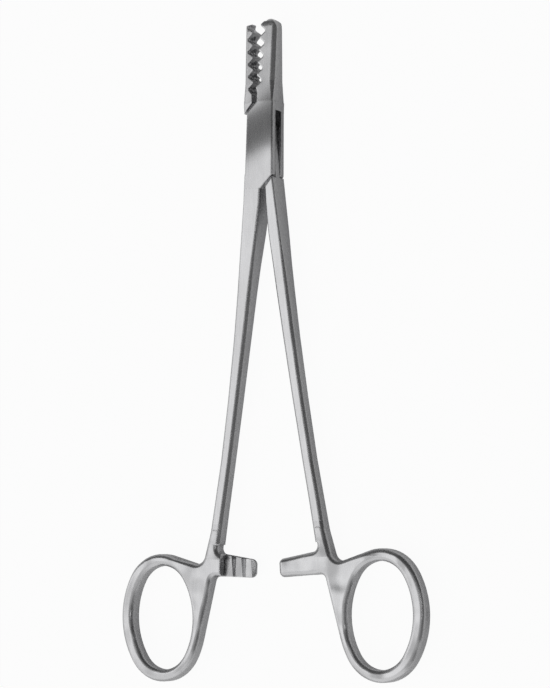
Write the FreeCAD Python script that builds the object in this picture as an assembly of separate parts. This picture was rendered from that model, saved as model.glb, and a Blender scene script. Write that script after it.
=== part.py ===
import FreeCAD, Part
import math
import os

# Bone holding forceps with a box joint, toothed jaws, finger rings and a ratchet.
# The forceps lie flat. Z is the thickness, jaws point to +Y, the pivot is on the Z axis.
# Both arms are drawn closed and then turned apart about the pivot.
# All sizes are in millimetres and all angles in degrees.

V = FreeCAD.Vector
Z_AXIS = V(0, 0, 1)

# Pose as modelled: each arm is turned by this much from the closed forceps
half_opening = 3.0

# Box joint
box_half_width = 4.4
box_thickness = 6.6
box_bevel = 0.35
box_flare = 0.6
shoulder_outer_y = 9.2
shoulder_inner_y = 12.4
shoulder_gap = 0.3
parting_gap = 0.3
parting_shift = 1.15
slot_height = 3.1
slot_clearance = 0.05
slot_end_outer_y = 10.0
tongue_shoulder_y = 5.5
tongue_side_inset = 0.45
tongue_bevel = 0.6
tongue_lap = 1.0
pin_radius = 1.5
pin_clearance = 0.05

# Jaws
insert_jaw_tip_y = 36.1
box_jaw_tip_y = 36.9
jaw_tip_half_width = 3.4
jaw_tip_thickness = 4.4
jaw_bevel = 1.05
jaw_bevel_start_y = 18.5
jaw_face_bevel = 0.01
jaw_lean = 1.2
box_jaw_corner_radius = 3.2
insert_jaw_corner_radius = 1.0
jaw_inner_corner_radius = 0.8

# Jaw teeth, with a drilled pit in each gap between two teeth
tooth_pitch = 3.65
tooth_height = 1.6
tooth_flat = 0.45
tooth_clearance = 0.5
tooth_count = 5
first_gap_y = 16.7
root_flat_end_y = 15.0
pit_radius = 1.15
pit_depth = 0.35

# Shanks, closed pose, in sections from the box to the finger ring:
# y, what the thickness lacks of the box's, bevel
shank_sections = (
    (-8.5, 0.0, 0.35),
    (-17.0, 0.3, 0.35),
    (-25.5, 0.7, 0.4),
    (-34.5, 1.3, 0.6),
    (-43.0, 1.65, 0.75),
    (-56.0, 2.0, 0.8),
    (-73.5, 2.3, 0.8),
    (-91.0, 2.5, 0.8),
    (-104.0, 2.4, 0.8),
    (-114.5, 1.96, 0.85),
)
# Inner side x of each section, and how far its outer side lies beyond the box's side
box_shank_sides = (
    (-1.0, 0.15),
    (-0.75, 0.35),
    (0.15, 0.85),
    (1.2, 1.55),
    (2.05, 2.1),
    (3.35, 2.95),
    (5.2, 4.4),
    (7.15, 6.2),
    (8.75, 7.9),
    (10.0, 9.2),
)
insert_shank_sides = (
    (1.3, -0.45),
    (1.15, 0.05),
    (1.2, 0.65),
    (1.75, 1.25),
    (2.3, 1.9),
    (3.45, 2.85),
    (5.2, 4.4),
    (7.15, 6.2),
    (8.75, 7.9),
    (10.0, 9.2),
)
shank_joint_length = 4.0
shank_joint_step = 0.02

# Finger rings: an opening of four arcs, with walls of their own width round it
ring_x = 28.9
ring_y = -136.0
opening_half_width = 10.35
opening_half_height = 14.9
opening_end_share = 0.83
ring_inner_wall = 2.95
ring_outer_wall = 3.9
ring_end_wall = 3.4
ring_tilt = 4.2
ring_thickness = 4.6
ring_rounding = 1.4
notch_x = 15.6
notch_y = -120.9
notch_radius = 3.0

# Ratchet bars
bar_root_top_y = -116.9
bar_tip_top_y = -118.4
bar_bottom_y = -123.5
insert_bar_reach = 2.3
box_bar_reach = 1.2
bar_corner_radius = 1.5
bar_root_radius = 1.8
bar_lap_gap = 0.2
bar_lap_flat = 0.5
ratchet_pitch = 3.3
ratchet_depth = 0.9
ratchet_count = 3

cut_margin = 1.0
mid_z = box_thickness / 2
tongue_thickness = slot_height - 2 * slot_clearance
far = 4 * box_half_width
shank_end_y = shank_sections[-1][0]
opening_end_radius = opening_end_share * opening_half_width
wall_mean = (ring_inner_wall + ring_outer_wall) / 2
wall_shift = (ring_outer_wall - ring_inner_wall) / 2


def polygon_face(points, z):
    """Flat face at height z from a list of (x, y) corners."""
    corners = [V(x, y, z) for x, y in points]
    return Part.Face(Part.makePolygon(corners + corners[:1]))


def prism(points, z_low, z_high):
    """Upright block over a polygon of (x, y) corners."""
    return polygon_face(points, z_low).extrude(V(0, 0, z_high - z_low))


def cylinder(radius, height, base, axis):
    """Round bar from a base point along an axis."""
    return Part.makeCylinder(radius, height, base, axis)


def mirrored(shape):
    """The same shape on the other side of the long axis."""
    return shape.mirror(V(0, 0, 0), V(1, 0, 0))


def section(y, x_low, x_high, thickness, bevel_low, bevel_high):
    """Closed cross-section across the long axis, with its corners bevelled."""
    low = mid_z - thickness / 2
    high = mid_z + thickness / 2
    corners = [
        V(x_low + bevel_low, y, low),
        V(x_high - bevel_high, y, low),
        V(x_high, y, low + bevel_high),
        V(x_high, y, high - bevel_high),
        V(x_high - bevel_high, y, high),
        V(x_low + bevel_low, y, high),
        V(x_low, y, high - bevel_low),
        V(x_low, y, low + bevel_low),
    ]
    return Part.makePolygon(corners + corners[:1])


def jaw_axis_x(y):
    """X of the middle of both closed jaws together, which lean a little."""
    rise = max(0.0, y - shoulder_inner_y)
    return rise * math.tan(math.radians(jaw_lean))


def parting_x(y):
    """X of the line on which the two jaws meet, nearer to the insert arm's jaw."""
    return jaw_axis_x(y) - parting_shift


def jaw_half_width(y):
    """Half the width of both closed jaws together at y."""
    run = (y - shoulder_outer_y) / (box_jaw_tip_y - shoulder_outer_y)
    return box_half_width + run * (jaw_tip_half_width - box_half_width)


def jaw_thickness(y):
    """Thickness of the jaws at y."""
    run = (y - shoulder_inner_y) / (box_jaw_tip_y - shoulder_inner_y)
    return box_thickness + run * (jaw_tip_thickness - box_thickness)


def tooth_line(side, tip_y):
    """Points of a jaw's toothed face from the box to the tip."""
    crest = tooth_height / 2
    flat_shift = side * parting_gap / 2
    shift = side * (parting_gap + tooth_clearance) / 2
    points = [
        (parting_x(shoulder_outer_y) + flat_shift, shoulder_outer_y),
        (parting_x(shoulder_inner_y) + flat_shift, shoulder_inner_y),
        (parting_x(root_flat_end_y) + flat_shift, root_flat_end_y),
    ]
    for step in range(2 * tooth_count + 1):
        y = first_gap_y + step * tooth_pitch / 2
        level = crest if step % 2 else -crest
        for edge in (-tooth_flat / 2, tooth_flat / 2):
            points.append((parting_x(y + edge) + level + shift, y + edge))
    last_x, last_y = points[-1]
    flank_length = tooth_pitch / 2 - tooth_flat
    rise = tooth_height * min(1.0, (tip_y - last_y) / flank_length)
    points.append((last_x + rise, tip_y))
    return points


def jaw_blank(side):
    """Jaw before its teeth are cut: tapered, with its two outer edges bevelled."""
    stations = (
        (0.0, box_bevel),
        (shoulder_inner_y, box_bevel),
        (jaw_bevel_start_y, jaw_bevel),
        (box_jaw_tip_y + cut_margin, jaw_bevel),
    )
    rings = []
    for y, bevel in stations:
        inner = -side * (tooth_height + parting_shift)
        outer = side * jaw_half_width(max(y, shoulder_outer_y)) + jaw_axis_x(y)
        thickness = jaw_thickness(max(y, shoulder_inner_y))
        if side > 0:
            rings.append(section(y, inner, outer, thickness, jaw_face_bevel, bevel))
        else:
            rings.append(section(y, outer, inner, thickness, bevel, jaw_face_bevel))
    return Part.makeLoft(rings, True, True)


def jaw_plan(side, tip_y, corner_radius):
    """Upright block with the jaw's outline: teeth inside, rounded tip, shoulder below."""
    inner = tooth_line(side, tip_y)
    outer_x = side * far
    inner_x = inner[-1][0]
    edge_x = side * jaw_half_width(tip_y) + jaw_axis_x(tip_y)
    outline = prism(inner + [(outer_x, tip_y), (outer_x, 0)], 0, box_thickness)
    outline = outline.cut(corner_waste(edge_x, tip_y, corner_radius, side))
    return outline.cut(corner_waste(inner_x, tip_y, jaw_inner_corner_radius, -side))


def corner_waste(x, y, radius, side):
    """What is cut away to round one corner of a jaw's tip; side +1 is a corner towards +X."""
    inner_x = x - side * radius
    outer_x = x + side * radius
    low_y = y - radius
    corners = [(inner_x, low_y), (outer_x, low_y), (outer_x, y + radius), (inner_x, y + radius)]
    round_bar = cylinder(radius, box_thickness, V(inner_x, low_y, 0), Z_AXIS)
    return prism(corners, 0, box_thickness).cut(round_bar)


def tip_profile(tip_y):
    """Side outline of a jaw, with its end rounded across the thickness."""
    radius = jaw_thickness(tip_y) / 2
    start = V(-far, tip_y - radius, mid_z - radius)
    end = V(-far, tip_y - radius, mid_z + radius)
    middle = V(-far, tip_y, mid_z)
    low = V(-far, 0, -cut_margin)
    high = V(-far, 0, box_thickness + cut_margin)
    low_end = V(-far, tip_y - radius, -cut_margin)
    high_end = V(-far, tip_y - radius, box_thickness + cut_margin)
    edges = [
        Part.LineSegment(low, low_end).toShape(),
        Part.LineSegment(low_end, start).toShape(),
        Part.Arc(start, middle, end).toShape(),
        Part.LineSegment(end, high_end).toShape(),
        Part.LineSegment(high_end, high).toShape(),
        Part.LineSegment(high, low).toShape(),
    ]
    return Part.Face(Part.Wire(edges)).extrude(V(2 * far, 0, 0))


def pits(side):
    """Round pits drilled across the face, one between each two teeth of a jaw."""
    drilled = []
    first = first_gap_y if side < 0 else first_gap_y + tooth_pitch / 2
    for index in range(tooth_count):
        y = first + index * tooth_pitch
        depth = (tooth_height + parting_gap + tooth_clearance) / 2 + pit_depth
        floor_x = parting_x(y) + side * depth
        drilled.append(cylinder(pit_radius, far, V(floor_x, y, mid_z), V(-side, 0, 0)))
    return drilled[0].multiFuse(drilled[1:])


def jaw(side, tip_y, corner_radius):
    """One jaw, closed pose; side is +1 for the box arm's jaw and -1 for the other."""
    solid = jaw_blank(side).common(jaw_plan(side, tip_y, corner_radius))
    solid = solid.common(tip_profile(tip_y))
    return solid.cut(pits(side))


def shoulder_side(sign):
    """Block beyond one shoulder of the box: sign +1 is the jaw end, -1 the ring end."""
    outer = (-sign * far, sign * (shoulder_y(far) + shoulder_gap))
    inner = (sign * far, sign * (shoulder_y(-far) + shoulder_gap))
    top = -sign * 2 * shank_end_y
    return prism([outer, inner, (sign * far, top), (-sign * far, top)], 0, box_thickness)


def shoulder_y(x):
    """Height of the box's sloping shoulder at a distance x from the long axis."""
    slope = (shoulder_outer_y - shoulder_inner_y) / (box_half_width - parting_shift)
    return shoulder_inner_y + slope * (x - parting_shift)


def tongue():
    """Thin middle of the insert arm that passes through the box, its sides bevelled."""
    edge = box_half_width - tongue_side_inset
    inner = parting_shift + parting_gap / 2
    half = [
        (-edge, shoulder_y(edge) + tongue_lap),
        (-inner, shoulder_inner_y + tongue_lap),
        (-inner, shoulder_inner_y),
        (edge, tongue_shoulder_y),
    ]
    other = [(-x, -y) for x, y in half]
    ends = [section(y, -edge, edge, tongue_thickness, tongue_bevel, tongue_bevel) for y in (-far, far)]
    bar = Part.makeLoft(ends, True, True)
    return bar.common(prism(half + other, 0, box_thickness))


def slot():
    """Space inside the box in which the tongue swings."""
    side_x = -parting_shift
    half = [(-far, far), (side_x, far), (side_x, shoulder_inner_y), (far, slot_end_y(far))]
    other = [(-x, -y) for x, y in half]
    low = mid_z - slot_height / 2
    return prism(half + other, low, low + slot_height)


def slot_end_y(x):
    """Height of the slot's sloping end wall at x."""
    slope = (slot_end_outer_y - shoulder_inner_y) / (box_half_width + parting_shift)
    return shoulder_inner_y + slope * (x + parting_shift)


def box_right_x(y):
    """Right side of the box, which flares towards the finger rings."""
    return box_half_width + box_flare * (shoulder_outer_y - y) / (2 * shoulder_outer_y)


def box():
    """Outer block of the box joint between its two shoulders."""
    ends = []
    for y in (-far, shoulder_outer_y, far):
        right_x = max(box_half_width, box_right_x(y))
        ends.append(section(y, -box_half_width, right_x, box_thickness, box_bevel, box_bevel))
    bar = Part.makeLoft(ends, True, True)
    inner_x = parting_gap / 2 - parting_shift
    inner_y = shoulder_y(-inner_x)
    upper = [(-far, shoulder_y(far)), (inner_x, inner_y), (far, inner_y)]
    lower = [(far, -shoulder_y(far)), (-inner_x, -inner_y), (-far, -inner_y)]
    return bar.common(prism(upper + lower, 0, box_thickness))


def shank(sides):
    """Tapering bevelled bar from the box to the finger ring, for one arm's sides."""
    rings = []
    for (y, taper, bevel), (inner, beyond) in zip(shank_sections, sides):
        outer = box_half_width + beyond
        rings.append(section(y, inner, outer, box_thickness - taper, bevel, bevel))
    return Part.makeLoft(rings, True, True)


def shank_end_sides(y):
    """Inner and outer side x of the shank near its end."""
    low_y, high_y = shank_sections[-1][0], shank_sections[-2][0]
    run = (y - low_y) / (high_y - low_y)
    low, high = box_shank_sides[-1], box_shank_sides[-2]
    inner = low[0] + run * (high[0] - low[0])
    beyond = low[1] + run * (high[1] - low[1])
    return (inner + shank_joint_step, box_half_width + beyond - shank_joint_step)


def ring_frame(x, y):
    """A point given in the ring's own axes, as (x, y) of the closed forceps."""
    turn = math.radians(-ring_tilt)
    return (
        ring_x + x * math.cos(turn) - y * math.sin(turn),
        ring_y + x * math.sin(turn) + y * math.cos(turn),
    )


def side_radius(half_width, half_height, end_radius):
    """Radius of an oval's two side arcs that run on smoothly into its end arcs."""
    rise = half_height - end_radius
    return (half_width ** 2 + rise ** 2 - end_radius ** 2) / (2 * (half_width - end_radius))


def oval_face(half_width, half_height, end_radius):
    """Flat oval of four tangent arcs about the origin."""
    side = side_radius(half_width, half_height, end_radius)
    rise = half_height - end_radius
    angle = math.atan2(rise, side - half_width)
    across = end_radius * math.cos(angle)
    along = rise + end_radius * math.sin(angle)
    corners = [V(across, along, 0), V(-across, along, 0), V(-across, -along, 0), V(across, -along, 0)]
    middles = [V(0, half_height, 0), V(-half_width, 0, 0), V(0, -half_height, 0), V(half_width, 0, 0)]
    arcs = []
    for index, middle in enumerate(middles):
        arcs.append(Part.Arc(corners[index], middle, corners[(index + 1) % 4]).toShape())
    return Part.Face(Part.Wire(arcs))


def ring_prism(half_width, half_height, end_radius, shift):
    """Upright oval block in the ring's place, moved across by shift."""
    face = oval_face(half_width, half_height, end_radius)
    face.translate(V(shift, 0, 0))
    face.rotate(V(0, 0, 0), Z_AXIS, -ring_tilt)
    face.translate(V(ring_x, ring_y, mid_z - ring_thickness / 2))
    return face.extrude(V(0, 0, ring_thickness))


def touch_point(point, centre, radius, turn):
    """Where a line from a point touches a circle; turn picks the side."""
    dx = point[0] - centre[0]
    dy = point[1] - centre[1]
    angle = math.atan2(dy, dx) + turn * math.acos(radius / math.hypot(dx, dy))
    return (centre[0] + radius * math.cos(angle), centre[1] + radius * math.sin(angle))


def plate_top_y():
    """Upper end of the web, inside the end of the shank."""
    return shank_end_y + shank_joint_length


def handle_outline(bar_reach):
    """Corners of the web between shank, ratchet bar and ring, in order."""
    top_y = plate_top_y()
    inner_x, outer_x = shank_end_sides(top_y)
    inner_top = (inner_x, top_y)
    outer_top = (outer_x, top_y)
    outer_half = opening_half_width + wall_mean
    end_radius = opening_end_radius + wall_mean
    ring_end = opening_half_height + ring_end_wall
    side = side_radius(outer_half, ring_end, end_radius)
    side_centre = ring_frame(wall_shift + side - outer_half, 0)
    end_centre = ring_frame(wall_shift, ring_end - end_radius)
    inner_touch = touch_point(inner_top, side_centre, side, 1)
    outer_touch = touch_point((notch_x, notch_y), end_centre, end_radius, -1)
    slope = (inner_touch[0] - inner_top[0]) / (inner_touch[1] - inner_top[1])
    bar_x = inner_top[0] + slope * (bar_root_top_y - top_y)
    bar_low_x = inner_top[0] + slope * (bar_bottom_y - top_y)
    tip_x = -bar_reach
    return [
        outer_top,
        inner_top,
        (bar_x, bar_root_top_y),
        (tip_x, bar_tip_top_y),
        (tip_x, bar_bottom_y),
        (bar_low_x, bar_bottom_y),
        inner_touch,
        ring_frame(0, 0),
        outer_touch,
        (notch_x, notch_y),
    ]


def is_upright(edge):
    """Whether an edge runs along Z."""
    box_size = edge.BoundBox
    return box_size.XLength < 0.01 and box_size.YLength < 0.01


def upright_edges(shape, x, y):
    """Upright edges of a shape that stand at (x, y)."""
    found = []
    for edge in shape.Edges:
        start = edge.Vertexes[0].Point
        if is_upright(edge) and math.hypot(start.x - x, start.y - y) < 0.05:
            found.append(edge)
    return found


def rim_edges(shape):
    """Edges round the top and bottom faces of the web and ring, without the shank's end."""
    found = []
    for edge in shape.Edges:
        size = edge.BoundBox
        level = size.ZLength < 0.01
        at_end = size.YMin > plate_top_y() - 0.01
        if level and not at_end:
            found.append(edge)
    return found


def handle_plate(bar_reach):
    """Ring, web and ratchet bar in one thickness, every edge rounded by three bevels."""
    corners = handle_outline(bar_reach)
    low = mid_z - ring_thickness / 2
    web = prism(corners, low, low + ring_thickness)
    outer_half = opening_half_width + wall_mean
    ring_end = opening_half_height + ring_end_wall
    ring = ring_prism(outer_half, ring_end, opening_end_radius + wall_mean, wall_shift)
    plate = web.fuse(ring).removeSplitter()
    roundings = (
        (corners[9], notch_radius),
        (corners[2], bar_root_radius),
        (corners[3], bar_corner_radius),
        (corners[4], bar_corner_radius),
        (corners[5], bar_root_radius),
    )
    for corner, radius in roundings:
        plate = plate.makeFillet(radius, upright_edges(plate, corner[0], corner[1]))
    plate = plate.cut(ring_prism(opening_half_width, opening_half_height, opening_end_radius, 0))
    bevel = ring_rounding * (2 - math.sqrt(2))
    plate = plate.makeChamfer(bevel, rim_edges(plate))
    quarter = math.radians(45)
    side_bevel = ring_rounding * (math.tan(quarter / 2) - math.tan(quarter / 4))
    return plate.makeChamfer(side_bevel, rim_edges(plate))


def bar_waste(bar_reach):
    """What is cut from a ratchet bar: half its thickness and the gaps of its teeth."""
    crest_z = mid_z - bar_lap_gap / 2
    floor_z = crest_z - ratchet_depth
    tip_x = -bar_reach
    profile = [V(tip_x - cut_margin, 0, floor_z)]
    for index in range(ratchet_count):
        back_x = tip_x + (index + 1) * ratchet_pitch
        profile.append(V(back_x, 0, crest_z))
        profile.append(V(back_x, 0, floor_z))
    end_x = tip_x + ratchet_count * ratchet_pitch + bar_lap_flat
    profile.append(V(end_x, 0, floor_z))
    profile.append(V(end_x, 0, box_thickness))
    profile.append(V(tip_x - cut_margin, 0, box_thickness))
    face = Part.Face(Part.makePolygon(profile + profile[:1]))
    face.translate(V(0, bar_bottom_y - cut_margin, 0))
    return face.extrude(V(0, bar_root_top_y - bar_bottom_y + 2 * cut_margin, 0))


def grip(bar_reach, teeth_up):
    """Ring and ratchet bar of one arm on the +X side, closed pose."""
    plate = handle_plate(bar_reach)
    waste = bar_waste(bar_reach)
    if not teeth_up:
        waste = waste.mirror(V(0, 0, mid_z), Z_AXIS)
    return plate.cut(waste)


def pin_bore(radius):
    """Round space along the pivot."""
    return cylinder(radius, box_thickness, V(0, 0, 0), Z_AXIS)


def make_insert_arm():
    """Arm with the thin tongue: jaw on the -X side, ring on the +X side."""
    top = jaw(-1, insert_jaw_tip_y, insert_jaw_corner_radius).common(shoulder_side(1))
    bottom = shank(insert_shank_sides).common(shoulder_side(-1)).fuse(grip(insert_bar_reach, False))
    arm = top.multiFuse([tongue(), bottom]).cut(pin_bore(pin_radius + pin_clearance))
    arm.rotate(V(0, 0, 0), Z_AXIS, half_opening)
    return arm


def make_box_arm():
    """Arm with the box: jaw on the +X side, ring on the -X side."""
    top = jaw(1, box_jaw_tip_y, box_jaw_corner_radius)
    bottom = mirrored(shank(box_shank_sides).fuse(grip(box_bar_reach, True)))
    arm = top.multiFuse([box(), bottom]).cut(slot()).cut(pin_bore(pin_radius))
    arm.rotate(V(0, 0, 0), Z_AXIS, -half_opening)
    return arm


def make_pin():
    """Rivet pin, ground flush with both faces of the box."""
    return pin_bore(pin_radius)


nodes = {
    "box_arm": make_box_arm(),
    "insert_arm": make_insert_arm(),
    "joint_pin": make_pin(),
}

os.makedirs("parts", exist_ok=True)
for name, shape in nodes.items():
    shape = shape.removeSplitter()
    solid = shape.Solids[0] if len(shape.Solids) == 1 else shape
    print(name, "solids", len(shape.Solids), "valid", shape.isValid(), "volume", round(shape.Volume, 1))
    solid.exportStep("parts/" + name + ".step")
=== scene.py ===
"""Bone holding forceps: finishes, floor, light and camera round the fixed frame."""

from dataclasses import dataclass
from enum import Enum
import logging
import math
from typing import Any

import bpy
from mathutils import Matrix, Vector


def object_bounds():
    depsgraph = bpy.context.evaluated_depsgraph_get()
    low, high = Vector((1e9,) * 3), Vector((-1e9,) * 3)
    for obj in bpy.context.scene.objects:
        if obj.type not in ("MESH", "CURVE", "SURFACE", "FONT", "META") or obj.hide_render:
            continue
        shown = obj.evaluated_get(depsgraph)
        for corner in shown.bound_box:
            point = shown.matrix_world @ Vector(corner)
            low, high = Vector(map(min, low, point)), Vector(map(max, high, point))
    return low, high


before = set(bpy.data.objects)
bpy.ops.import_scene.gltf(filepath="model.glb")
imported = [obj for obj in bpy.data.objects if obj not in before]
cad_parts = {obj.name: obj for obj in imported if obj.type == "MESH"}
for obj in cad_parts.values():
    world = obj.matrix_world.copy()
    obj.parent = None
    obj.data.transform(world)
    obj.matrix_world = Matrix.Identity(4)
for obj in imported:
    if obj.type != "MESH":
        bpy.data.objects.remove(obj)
CAD_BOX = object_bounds()

LOG = logging.getLogger("forceps")
MM = 0.001
WHITE = (1.0, 1.0, 1.0, 1.0)


class Body(Enum):
    """The two halves that turn on the joint."""

    BOX = "box_side"
    INSERT = "insert_side"


class Ease(Enum):
    """How a value passes from one limit to the other."""

    LINEAR = "LINEAR"
    SMOOTH = "SMOOTHSTEP"
    SMOOTHER = "SMOOTHERSTEP"


class Axis(Enum):
    """Place of a coordinate in a vector."""

    X = 0
    Y = 1
    Z = 2


class Blend(Enum):
    """What a mix works on, with the numbers of its two inputs and of its output."""

    COLOUR = ("RGBA", 6, 7, 2)
    VECTOR = ("VECTOR", 4, 5, 1)


class Sock:
    """An output socket that can be used in an expression of numbers."""

    def __init__(self, tree: "Graph", socket: bpy.types.NodeSocket | None) -> None:
        """Keep the graph that new Math nodes go into, and the output that this object stands for."""
        self.tree = tree
        self.socket = socket

    def _math(self, operation: str, *values: Any) -> "Sock":
        """Add one Math node for an operation on numbers or sockets."""
        return self.tree.add("ShaderNodeMath", {"operation": operation}, dict(enumerate(values)))

    def __add__(self, other: Any) -> "Sock":
        """Sum."""
        return self._math("ADD", self, other)

    __radd__ = __add__

    def __mul__(self, other: Any) -> "Sock":
        """Product."""
        return self._math("MULTIPLY", self, other)

    __rmul__ = __mul__

    def __sub__(self, other: Any) -> "Sock":
        """Difference."""
        return self._math("SUBTRACT", self, other)

    def __rsub__(self, other: Any) -> "Sock":
        """Difference, with this value taken away."""
        return self._math("SUBTRACT", other, self)

    def __truediv__(self, other: Any) -> "Sock":
        """Quotient."""
        return self._math("DIVIDE", self, other)

    def __rtruediv__(self, other: Any) -> "Sock":
        """Quotient, with this value as the divisor."""
        return self._math("DIVIDE", other, self)

    def __pow__(self, other: Any) -> "Sock":
        """Power."""
        return self._math("POWER", self, other)

    def __rpow__(self, other: Any) -> "Sock":
        """Power, with this value as the exponent."""
        return self._math("POWER", other, self)

    def __gt__(self, other: Any) -> "Sock":
        """Say with 1 or 0 whether this value is the greater one."""
        return self._math("GREATER_THAN", self, other)

    def __lt__(self, other: Any) -> "Sock":
        """Say with 1 or 0 whether this value is the lesser one."""
        return self._math("LESS_THAN", self, other)

    def fraction(self) -> "Sock":
        """Part of the value after its whole number."""
        return self._math("FRACT", self)


@dataclass(frozen=True)
class Grain:
    """Noise that stands for one kind of mark on a surface.

    Attributes:
        scale: Cycles a metre along each axis.
        detail: Octaves of detail.
        rough: Strength of the finer octaves.
    """

    scale: tuple[float, float, float]
    detail: float
    rough: float = 0.5


class Graph:
    """Node tree of one material or of the world, cleared and ready to fill."""

    def __init__(self, owner: bpy.types.Material | bpy.types.World) -> None:
        """Turn the owner's nodes on and empty its tree.

        Args:
            owner: Material or world.
        """
        owner.use_nodes = True
        self.tree = owner.node_tree
        self.tree.nodes.clear()

    def add(
        self,
        kind: str,
        settings: dict[str, Any] | None = None,
        inputs: dict[str | int, Any] | None = None,
        output: str | int = 0,
    ) -> Sock:
        """Add any node.

        Args:
            kind: Node type.
            settings: Values set on the node itself first; a ramp's stops are under "stops".
            inputs: Values or sockets for its inputs, by name or number.
            output: Name or number of the output to give back.

        Returns:
            The chosen output.
        """
        node = self.tree.nodes.new(kind)
        for name, value in (settings or {}).items():
            if name == "stops":
                self._stops(node.color_ramp, value)
            else:
                setattr(node, name, value)
        for name, value in (inputs or {}).items():
            if isinstance(value, Sock):
                self.tree.links.new(value.socket, node.inputs[name])
            else:
                node.inputs[name].default_value = value
        return Sock(self, node.outputs[output] if len(node.outputs) else None)

    @staticmethod
    def _stops(ramp: bpy.types.ColorRamp, stops: tuple[tuple[float, float], ...]) -> None:
        """Set a ramp's stops.

        Args:
            ramp: Ramp with its two first stops.
            stops: Place and grey level of each stop.
        """
        while len(ramp.elements) < len(stops):
            ramp.elements.new(0.5)
        for element, (place, level) in zip(ramp.elements, stops):
            element.position = place
            element.color = (level, level, level, 1.0)

    def mix(self, blend: Blend, factor: Sock, first: Any, second: Any) -> Sock:
        """Mix two colours or two vectors.

        Args:
            blend: Whether they are colours or vectors.
            factor: Share of the second one.
            first: First colour or vector.
            second: Second colour or vector.

        Returns:
            The mixed colour or vector.
        """
        data_type, first_input, second_input, output = blend.value
        inputs = {0: factor, first_input: first, second_input: second}
        return self.add("ShaderNodeMix", {"data_type": data_type}, inputs, output)

    def part(self, vector: Sock, axis: Axis) -> Sock:
        """Take one coordinate out of a vector."""
        return self.add("ShaderNodeSeparateXYZ", {}, {0: vector}, axis.value)

    def coordinate(self, axis: Axis) -> Sock:
        """Take one of the object's own coordinates, in metres."""
        return self.part(self.add("ShaderNodeTexCoord", output="Object"), axis)

    def rise(self, value: Sock, limits: tuple[float, float], ease: Ease = Ease.LINEAR) -> Sock:
        """Rise from 0 at the first limit to 1 at the second, which may be the lower one."""
        settings = {"interpolation_type": ease.value}
        return self.add("ShaderNodeMapRange", settings, {0: value, 1: limits[0], 2: limits[1]})

    def noise(self, grain: Grain) -> Sock:
        """Noise value on the object's own coordinates.

        Args:
            grain: Size and detail of the noise.

        Returns:
            The noise value.
        """
        coords = self.add("ShaderNodeTexCoord", output="Object")
        stretched = self.add("ShaderNodeMapping", {}, {"Vector": coords, "Scale": grain.scale})
        inputs = {"Vector": stretched, "Scale": 1.0, "Detail": grain.detail, "Roughness": grain.rough}
        return self.add("ShaderNodeTexNoise", {}, inputs)

    def bump(self, height: Sock, depth: float, normal: Sock, strength: float = 1.0) -> Sock:
        """Tilt a normal by a height, where a height of 1 is as deep as the depth in metres."""
        inputs = {"Height": height, "Distance": depth, "Strength": strength, "Normal": normal}
        return self.add("ShaderNodeBump", {}, inputs)


def between(value: Sock, low: float, high: float) -> Sock:
    """Say with 1 or 0 whether a value lies between two limits."""
    return (value > low) * (value < high)


@dataclass(frozen=True)
class RatchetFace:
    """Toothed face of one ratchet bar, each tooth ground flat at its crest and steep behind it.

    Attributes:
        side: 1 where the teeth follow each other towards +X, -1 towards -X.
        first_back: Start of the first tooth along that direction.
        low_z: Height just under the toothed face.
        high_z: Height just over it.
        pitch: Distance from tooth to tooth.
        teeth: Number of teeth.
        slant: Lean of the tooth lines over the bar's width.
        mid_y: Middle of the bar's width.
        end_y: Edges of the bar's width.
        depth: Depth that a height of 1 stands for.
        profile: Place and height of the points of one tooth, both from 0 to 1.
    """

    side: float
    first_back: float
    low_z: float
    high_z: float
    pitch: float = 3.29 * MM
    teeth: int = 3
    slant: float = 0.052
    mid_y: float = -119.7 * MM
    end_y: tuple[float, float] = (-124.0 * MM, -116.0 * MM)
    depth: float = 1.0 * MM
    profile: tuple[tuple[float, float], ...] = ((0.0, 0.55), (0.55, 1.0), (1.0, 0.0))

    def height(self, graph: Graph) -> Sock:
        """Height of the tooth profile over the plain slopes.

        Args:
            graph: Graph of the material.

        Returns:
            Height from 0 to 1 on the toothed face, 0 elsewhere.
        """
        along = graph.coordinate(Axis.Y)
        run = graph.coordinate(Axis.X) * self.side + (along - self.mid_y) * self.slant - self.first_back
        share = (run / self.pitch).fraction()
        shape = graph.add("ShaderNodeValToRGB", {"stops": self.profile}, {0: share})
        on_bar = between(run, 0.0, self.teeth * self.pitch) * between(along, *self.end_y)
        return shape * on_bar * between(graph.coordinate(Axis.Z), self.low_z, self.high_z)


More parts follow.
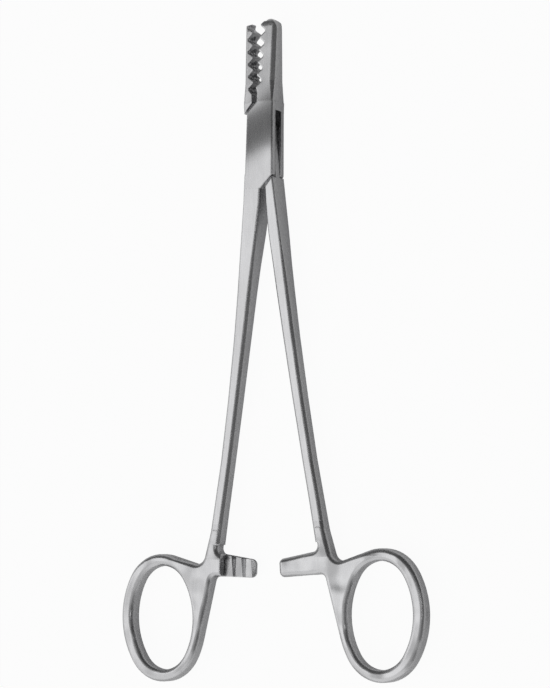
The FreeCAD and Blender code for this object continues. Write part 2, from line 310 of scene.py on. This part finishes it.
@dataclass(frozen=True)
class PolishedSteel:
    """Satin-polished stainless steel, with faint lines of polishing along the piece.

    Attributes:
        name: Name of the material.
        colour: Colour of the bright parts.
        shade: Colour of the duller parts.
        worn: Colour of the rubbed edges.
        roughness: Roughness before the marks add to it.
        edge_radius: Radius that softens each edge.
        edge_samples: Number of rays that look for an edge.
        wear: Turn of the softened normal at which rubbing starts and is full, as 1 less its cosine.
        lines: Fine lines of polishing.
        cloud: Slow changes of tone.
        spots: Fine spots in the gloss.
        cloud_share: Share of the slow changes in the tone; the lines have the rest.
        tone: Levels of the two together for the duller and the brighter colour.
        line_roughness: Roughness that the lines add.
        spot_roughness: Roughness that the spots add.
        wear_polish: Roughness that rubbing takes off.
        line_depth: Depth of the lines.
        line_strength: Share of that depth.
        streaks: Long shallow streaks along jaws and shanks.
        streak_depth: Depth of the streaks.
        streak_loss: Share of the streaks that fades on the rings.
        waves: Slow unevenness of the hand-polished rings.
        wave_depth: Depth of the waves.
        wave_zone: Y at which the waves start to grow and where they are full.
        wave_rest: Share of the waves on the rest of the arm.
        pin_zone: Distances from the pivot within which edges stay sharp, and beyond which they don't.
        hollow_zone: Y of the foot and of the top of the slope that polishing left across the joint.
        hollow_slant: Lean of that slope over the joint's width.
        hollow_depth: Height of that slope.
        ratchet: Teeth of the ratchet bar, where the piece has one.
    """

    name: str
    colour: tuple[float, float, float] = (0.66, 0.66, 0.67)
    shade: tuple[float, float, float] = (0.53, 0.53, 0.54)
    worn: tuple[float, float, float] = (0.74, 0.74, 0.75)
    roughness: float = 0.21
    edge_radius: float = 0.55 * MM
    edge_samples: int = 8
    wear: tuple[float, float] = (0.03, 0.15)
    lines: Grain = Grain((9000.0, 260.0, 9000.0), 3.0, 0.6)
    cloud: Grain = Grain((90.0, 40.0, 90.0), 4.0)
    spots: Grain = Grain((900.0, 900.0, 900.0), 5.0, 0.65)
    cloud_share: float = 0.5
    tone: tuple[float, float] = (0.35, 0.65)
    line_roughness: float = 0.07
    spot_roughness: float = 0.05
    wear_polish: float = 0.04
    line_depth: float = 0.2 * MM
    line_strength: float = 0.05
    streaks: Grain = Grain((420.0, 14.0, 420.0), 2.0)
    streak_depth: float = 0.08 * MM
    streak_loss: float = 0.8
    waves: Grain = Grain((115.0, 100.0, 115.0), 0.6, 0.4)
    wave_depth: float = 2.4 * MM
    wave_zone: tuple[float, float] = (-108.0 * MM, -118.0 * MM)
    wave_rest: float = 0.12
    pin_zone: tuple[float, float] = (2.4 * MM, 2.9 * MM)
    hollow_zone: tuple[float, float] = (16.5 * MM, -7.5 * MM)
    hollow_slant: float = 0.45
    hollow_depth: float = 2.8 * MM
    ratchet: RatchetFace | None = None

    def build(self) -> bpy.types.Material:
        """Make the material.

        Returns:
            The finished material.
        """
        material = bpy.data.materials.new(self.name)
        graph = Graph(material)
        lines = graph.noise(self.lines)
        true = graph.add("ShaderNodeNewGeometry", output="Normal")
        soft = self._soft_edges(graph, true)
        wear = self._wear(graph, true, soft)
        inputs = {
            "Base Color": self._tint(graph, lines, wear),
            "Metallic": 1.0,
            "Roughness": self._marked_roughness(graph, lines, wear),
            "Normal": self._relief(graph, lines, soft),
        }
        shader = graph.add("ShaderNodeBsdfPrincipled", {}, inputs)
        graph.add("ShaderNodeOutputMaterial", {}, {"Surface": shader})
        return material

    def _soft_edges(self, graph: Graph, true: Sock) -> Sock:
        """Round the edges off, but for the flush pin and the rim of its hole.

        Args:
            graph: Graph of the material.
            true: Normal of the plain face.

        Returns:
            The normal with softened edges.
        """
        settings = {"samples": self.edge_samples}
        rounded = graph.add("ShaderNodeBevel", settings, {"Radius": self.edge_radius})
        across, along = graph.coordinate(Axis.X), graph.coordinate(Axis.Y)
        distance = (across * across + along * along) ** 0.5
        return graph.mix(Blend.VECTOR, graph.rise(distance, self.pin_zone), true, rounded)

    def _wear(self, graph: Graph, true: Sock, soft: Sock) -> Sock:
        """Find the edges that use has rubbed bright.

        Args:
            graph: Graph of the material.
            true: Normal of the plain face.
            soft: Normal with softened edges.

        Returns:
            0 on the faces, 1 on the edges.
        """
        inputs = {0: soft, 1: true}
        alike = graph.add("ShaderNodeVectorMath", {"operation": "DOT_PRODUCT"}, inputs, "Value")
        return graph.rise(1.0 - alike, self.wear)

    def _tint(self, graph: Graph, lines: Sock, wear: Sock) -> Sock:
        """Vary the colour with the marks and the wear.

        Args:
            graph: Graph of the material.
            lines: Lines of polishing.
            wear: Rubbed edges.

        Returns:
            The colour.
        """
        marks = graph.noise(self.cloud) * self.cloud_share + lines * (1.0 - self.cloud_share)
        tone = graph.rise(marks, self.tone)
        colour = graph.mix(Blend.COLOUR, tone, (*self.shade, 1.0), (*self.colour, 1.0))
        return graph.mix(Blend.COLOUR, wear, colour, (*self.worn, 1.0))

    def _marked_roughness(self, graph: Graph, lines: Sock, wear: Sock) -> Sock:
        """Vary the roughness with the lines of polishing, the spots and the rubbed edges."""
        lined = self.roughness + self.line_roughness * lines
        return lined + self.spot_roughness * graph.noise(self.spots) - self.wear_polish * wear

    def _relief(self, graph: Graph, lines: Sock, soft: Sock) -> Sock:
        """Tilt the normal by streaks, waves, the slope across the joint, the ratchet and the lines.

        Args:
            graph: Graph of the material.
            lines: Lines of polishing.
            soft: Normal with softened edges.

        Returns:
            The tilted normal.
        """
        ring = graph.rise(graph.coordinate(Axis.Y), self.wave_zone)
        streaks = graph.noise(self.streaks) * (1.0 - self.streak_loss * ring)
        waves = graph.noise(self.waves) * (ring * (1.0 - self.wave_rest) + self.wave_rest)
        slanted = graph.coordinate(Axis.Y) - graph.coordinate(Axis.X) * self.hollow_slant
        hollow = graph.rise(slanted, self.hollow_zone, Ease.SMOOTHER)
        normal = graph.bump(streaks, self.streak_depth, soft)
        normal = graph.bump(waves, self.wave_depth, normal)
        normal = graph.bump(hollow, self.hollow_depth, normal)
        if self.ratchet:
            normal = graph.bump(self.ratchet.height(graph), self.ratchet.depth, normal)
        return graph.bump(lines, self.line_depth, normal, self.line_strength)


@dataclass(frozen=True)
class StudioPaper:
    """Plain pale paper under the forceps.

    Attributes:
        name: Name of the material.
        colour: Colour of the paper.
        grain: Fibres of the paper.
        grain_share: How far the fibres whiten it.
        roughness: Roughness of the paper.
        specular: Strength of its gloss.
        whiteness: Share of plain white that the camera sees over the shadows.
        gleam: Share of plain white that reflections see.
    """

    name: str = "studio_paper"
    colour: tuple[float, float, float] = (0.93, 0.93, 0.93)
    grain: Grain = Grain((400.0, 400.0, 400.0), 3.0)
    grain_share: float = 0.04
    roughness: float = 0.9
    specular: float = 0.1
    whiteness: float = 0.95
    gleam: float = 0.08

    def build(self) -> bpy.types.Material:
        """Make the material, white to the camera and to reflections apart from shadows.

        Returns:
            The finished material.
        """
        material = bpy.data.materials.new(self.name)
        graph = Graph(material)
        fibres = graph.noise(self.grain) * self.grain_share
        inputs = {
            "Base Color": graph.mix(Blend.COLOUR, fibres, (*self.colour, 1.0), WHITE),
            "Roughness": self.roughness,
            "Specular IOR Level": self.specular,
        }
        paper = graph.add("ShaderNodeBsdfPrincipled", {}, inputs)
        glow = graph.add("ShaderNodeEmission", {}, {"Color": WHITE, "Strength": 1.0})
        to_camera = graph.add("ShaderNodeLightPath", output="Is Camera Ray") * self.whiteness
        to_gleams = graph.add("ShaderNodeLightPath", output="Is Glossy Ray") * self.gleam
        shader = graph.add("ShaderNodeMixShader", {}, {0: to_gleams + to_camera, 1: paper, 2: glow})
        graph.add("ShaderNodeOutputMaterial", {}, {"Surface": shader})
        return material


@dataclass(frozen=True)
class Piece:
    """One solid of the fixed frame with its finish.

    Attributes:
        node: Name of the solid.
        body: Half that it belongs to.
        finish: Its material.
    """

    node: str
    body: Body
    finish: PolishedSteel

    def dress(self) -> None:
        """Give the piece its finish."""
        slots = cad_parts[self.node].data.materials
        slots.clear()
        slots.append(self.finish.build())
        LOG.info("dressed %s on %s", self.node, self.body.value)


@dataclass(frozen=True)
class BoxArm(Piece):
    """Arm with the right jaw, the slotted box, the left shank, ratchet bar and finger ring."""

    node: str = "box_arm"
    body: Body = Body.BOX
    finish: PolishedSteel = PolishedSteel(
        "arm_steel_box",
        ratchet=RatchetFace(side=1.0, first_back=-14.99 * MM, low_z=2.28 * MM, high_z=3.22 * MM),
    )


@dataclass(frozen=True)
class InsertArm(Piece):
    """Arm with the left jaw, the thin tongue, the right shank, ratchet bar and finger ring."""

    node: str = "insert_arm"
    body: Body = Body.INSERT
    finish: PolishedSteel = PolishedSteel(
        "arm_steel_insert",
        ratchet=RatchetFace(side=-1.0, first_back=-13.89 * MM, low_z=3.38 * MM, high_z=4.32 * MM),
    )


@dataclass(frozen=True)
class JointPin(Piece):
    """Rivet pin, held in the box's walls and ground flush with them."""

    node: str = "joint_pin"
    body: Body = Body.BOX
    finish: PolishedSteel = PolishedSteel("pin_steel")


@dataclass(frozen=True)
class Lamp:
    """One soft square lamp.

    Attributes:
        name: Name of the lamp.
        place: Where it hangs.
        size: Side of the square.
        power: Strength in watts.
    """

    name: str
    place: tuple[float, float, float]
    size: float
    power: float

    def hang(self, aim: Vector) -> None:
        """Hang the lamp so that it faces a point.

        Args:
            aim: Point that it faces.
        """
        data = bpy.data.lights.new(self.name, "AREA")
        data.shape = "SQUARE"
        data.size = self.size
        data.energy = self.power
        lamp = bpy.data.objects.new(self.name, data)
        lamp.location = self.place
        lamp.rotation_mode = "QUATERNION"
        lamp.rotation_quaternion = (aim - lamp.location).to_track_quat("-Z", "Y")
        bpy.context.scene.collection.objects.link(lamp)
        LOG.info("lamp %s", self.name)


@dataclass(frozen=True)
class Surroundings:
    """Grey room that the steel reflects, pale on the left and overhead, dark on the right.

    Attributes:
        name: Name of the world.
        middle: Level at the middle of the room.
        right_loss: Level lost towards +X.
        top_gain: Level gained towards +Z.
        card: Y of the direction at which the dark card beyond the jaws starts and is full.
        card_loss: Level that the card takes away.
        rear: Y of the direction at which the pale side beyond the rings starts and is full.
        rear_gain: Level gained there.
        horizon: Z of the direction at which the pale horizon starts and is full.
        horizon_gain: Level gained there.
        tones: Grey that the steel reflects at each level.
        strength: Strength of the room's light.
    """

    name: str = "studio"
    middle: float = 0.5
    right_loss: float = 0.38
    top_gain: float = 0.22
    card: tuple[float, float] = (0.22, 0.46)
    card_loss: float = 0.5
    rear: tuple[float, float] = (-0.25, -0.7)
    rear_gain: float = 0.3
    horizon: tuple[float, float] = (0.38, 0.12)
    horizon_gain: float = 0.28
    tones: tuple[tuple[float, float], ...] = (
        (0.0, 0.08),
        (0.30, 0.14),
        (0.52, 0.26),
        (0.74, 0.62),
        (0.92, 1.05),
    )
    strength: float = 0.85

    def build(self) -> None:
        """Make the room the scene's world, plain white to the camera itself."""
        world = bpy.data.worlds.new(self.name)
        bpy.context.scene.world = world
        graph = Graph(world)
        direction = graph.add("ShaderNodeTexCoord", output="Generated")
        across, along, height = (graph.part(direction, axis) for axis in Axis)
        card = graph.rise(along, self.card, Ease.SMOOTH)
        rear = graph.rise(along, self.rear, Ease.SMOOTH)
        horizon = graph.rise(height, self.horizon, Ease.SMOOTH)
        level = self.middle - self.right_loss * across + self.top_gain * height
        level = level - self.card_loss * card + self.rear_gain * rear + self.horizon_gain * horizon
        glow = graph.add("ShaderNodeValToRGB", {"stops": self.tones}, {0: level})
        lit = graph.add("ShaderNodeBackground", {}, {"Color": glow, "Strength": self.strength})
        white = graph.add("ShaderNodeBackground", {}, {"Color": WHITE, "Strength": 1.0})
        to_camera = graph.add("ShaderNodeLightPath", output="Is Camera Ray")
        mixed = graph.add("ShaderNodeMixShader", {}, {0: to_camera, 1: lit, 2: white})
        graph.add("ShaderNodeOutputWorld", {}, {"Surface": mixed})


@dataclass(frozen=True)
class Studio:
    """Floor, light and camera.

    Attributes:
        view_turn: Turn of the view about the long axis, in degrees.
        view_pitch: Pitch of the view, in degrees.
        view_roll: Roll of the view, in degrees.
        distance: Distance from the camera to the plane through the pivot.
        photo_scale: Real size of one pixel in that plane.
        photo_size: Width and height of the photograph in pixels.
        pivot_pixel: Place of the pivot in the photograph.
        sensor: Width of the camera's sensor in millimetres.
        floor_side: Side of the square floor.
        lamp_aim: Point that the lamps face.
        lamps: The lamps.
    """

    view_turn: float = 32.0
    view_pitch: float = 6.0
    view_roll: float = 0.8
    distance: float = 0.7
    photo_scale: float = 0.2872 * MM
    photo_size: tuple[int, int] = (550, 688)
    pivot_pixel: tuple[float, float] = (264.4, 146.0)
    sensor: float = 36.0
    floor_side: float = 6.0
    lamp_aim: tuple[float, float, float] = (0.0, -0.06, 0.0)
    lamps: tuple[Lamp, ...] = (
        Lamp("key", (-0.9, 0.1, 1.3), size=0.8, power=0.8),
        Lamp("edge_glint", (0.8, 0.02, 1.02), size=0.25, power=0.4),
    )

    def floor(self) -> None:
        """Lay the pale floor under the object."""
        underside = CAD_BOX[0].z
        half = self.floor_side / 2
        mesh = bpy.data.meshes.new("floor")
        corners = [(-half, -half, 0), (half, -half, 0), (half, half, 0), (-half, half, 0)]
        mesh.from_pydata(corners, [], [(0, 1, 2, 3)])
        floor = bpy.data.objects.new("floor", mesh)
        floor.location = (0, 0, min(underside, 0.0))
        bpy.context.scene.collection.objects.link(floor)
        mesh.materials.append(StudioPaper().build())
        LOG.info("floor at %.4f", floor.location.z)

    def light(self) -> None:
        """Light the object softly from above and the left, with a dark side to the right."""
        for lamp in self.lamps:
            lamp.hang(Vector(self.lamp_aim))
        Surroundings().build()

    def _view_axes(self) -> tuple[Vector, Vector, Vector]:
        """Work out the photograph's angle.

        Returns:
            Directions to the right, up and back of the view.
        """
        turn = math.radians(self.view_turn)
        pitch = math.radians(self.view_pitch)
        roll = math.radians(self.view_roll)
        across_turn, through_turn = math.sin(turn), math.cos(turn)
        back = Vector((across_turn * math.cos(pitch), -math.sin(pitch), through_turn * math.cos(pitch)))
        right = Vector((through_turn, 0.0, -across_turn))
        up = Vector((across_turn * math.sin(pitch), math.cos(pitch), through_turn * math.sin(pitch)))
        right_rolled = right * math.cos(roll) - up * math.sin(roll)
        up_rolled = up * math.cos(roll) + right * math.sin(roll)
        return right_rolled, up_rolled, back

    def camera(self) -> None:
        """Set the camera at the photograph's angle and framing."""
        right, up, back = self._view_axes()
        low, high = CAD_BOX
        pivot = Vector((0.0, 0.0, (low.z + high.z) / 2))
        across = (self.photo_size[0] / 2 - self.pivot_pixel[0]) * self.photo_scale
        along = (self.pivot_pixel[1] - self.photo_size[1] / 2) * self.photo_scale
        aim = pivot + right * across + up * along
        data = bpy.data.cameras.new("camera")
        data.sensor_fit = "AUTO"
        data.sensor_width = self.sensor
        data.lens = self.sensor * self.distance / (self.photo_size[1] * self.photo_scale)
        camera = bpy.data.objects.new("camera", data)
        axes = Matrix((right, up, back)).transposed()
        camera.matrix_world = Matrix.Translation(aim + back * self.distance) @ axes.to_4x4()
        bpy.context.scene.collection.objects.link(camera)
        bpy.context.scene.camera = camera
        LOG.info("camera lens %.1f", data.lens)


def write_sizes() -> None:
    """Log a line; no sizes are kept or written."""
    LOG.info("sizes written")


def main() -> None:
    """Dress every piece in order and set up the studio."""
    logging.basicConfig(level=logging.INFO, format="%(name)s: %(message)s")
    bpy.context.scene.view_settings.view_transform = "Standard"
    for piece in (BoxArm(), InsertArm(), JointPin()):
        piece.dress()
    studio = Studio()
    studio.floor()
    studio.light()
    studio.camera()
    write_sizes()


if __name__ == "__main__":
    main()
